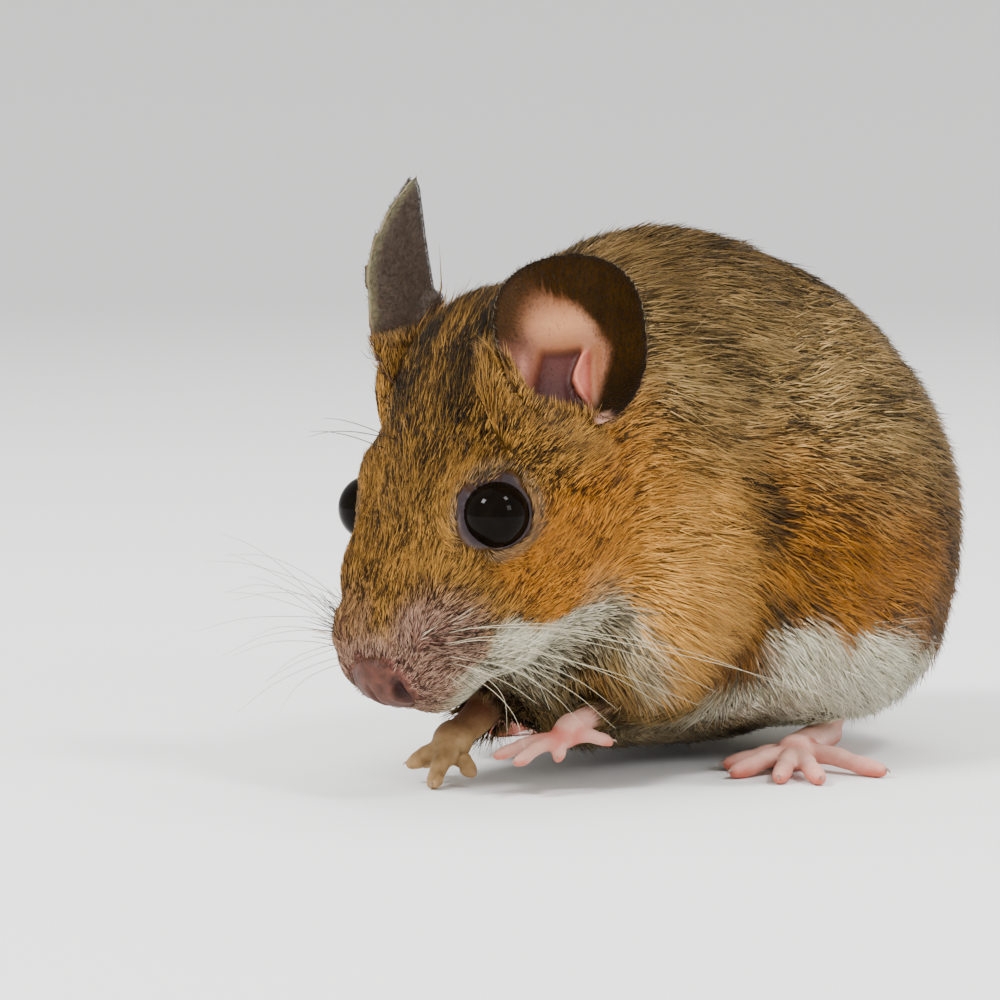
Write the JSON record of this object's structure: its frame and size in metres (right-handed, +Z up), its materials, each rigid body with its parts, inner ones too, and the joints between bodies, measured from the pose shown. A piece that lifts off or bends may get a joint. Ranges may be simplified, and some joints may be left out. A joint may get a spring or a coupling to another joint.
{
  "type": "field mouse",
  "caption": "Life-size field mouse as a still museum model: crouched low with its head bowed and turned, large round ears up, long thin tail laid out behind it.",
  "frame": {"origin": "middle of the footprint box, on the floor", "axes": "+Z up, the mouse faces -Y with its left side at +X, and the tail runs back towards +Y"},
  "size_m": [0.0762, 0.096, 0.0413],
  "materials": {
    "coat": "matt fur, golden brown above and grey-white below",
    "bare_skin": "soft pink skin",
    "ear_skin": "thin velvety skin",
    "tail_skin": "finely ringed skin",
    "eye": "polished black"
  },
  "bodies": {
    "root": {"head": "coat", "neck": "coat", "trunk": "coat", "foreleg_left": "coat", "foreleg_right": "coat", "thigh_left": "coat", "thigh_right": "coat", "forepaw_left": "bare_skin", "forepaw_right": "bare_skin", "hindfoot_left": "bare_skin", "hindfoot_right": "bare_skin", "ear_left": "ear_skin", "ear_right": "ear_skin", "eye_left": "eye", "eye_right": "eye", "tail_base": "tail_skin", "tail_middle": "tail_skin", "tail_tip": "tail_skin"}
  },
  "joints": []
}
